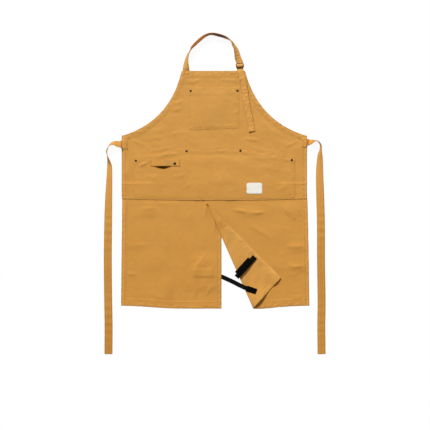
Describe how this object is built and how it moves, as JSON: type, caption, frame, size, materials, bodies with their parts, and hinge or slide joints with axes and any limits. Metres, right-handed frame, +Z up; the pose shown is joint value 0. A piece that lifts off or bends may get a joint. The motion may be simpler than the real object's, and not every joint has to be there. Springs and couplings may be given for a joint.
{
  "type": "split-leg work apron",
  "caption": "Canvas work apron lying flat, with a bib, adjustable neck strap, waist ties, patch pockets, towel loop, and split skirt panels with leg straps.",
  "frame": {"origin": "middle of the waist line, level with the ties, on the surface that the apron lies on", "axes": "+Y along the apron towards the neck, +X to the right in plan, +Z up out of the front face"},
  "size_m": [0.8635, 1.253, 0.0301],
  "materials": {
    "canvas": "mustard plain-woven cotton canvas, soft and matt",
    "webbing": "black ribbed webbing",
    "antique_metal": "dark antique brass",
    "label": "plain cream woven label"
  },
  "bodies": {
    "root": {"body_panel": "canvas", "skirt_left": "canvas", "skirt_right": "canvas", "chest_pocket": "canvas", "waist_pocket": "canvas", "towel_loop": "canvas", "neck_strap": "canvas", "strap_anchor": "canvas", "strap_slider": "antique_metal", "waist_tie_left": "canvas", "waist_tie_right": "canvas", "leg_strap_left": "webbing", "leg_strap_right": "webbing", "leg_pad_left": "webbing", "leg_pad_right": "webbing", "label": "label", "rivet_chest_left": "antique_metal", "rivet_chest_right": "antique_metal", "rivet_waist_1": "antique_metal", "rivet_waist_2": "antique_metal", "rivet_waist_3": "antique_metal", "rivet_waist_4": "antique_metal", "loop_snap": "antique_metal"}
  },
  "joints": []
}
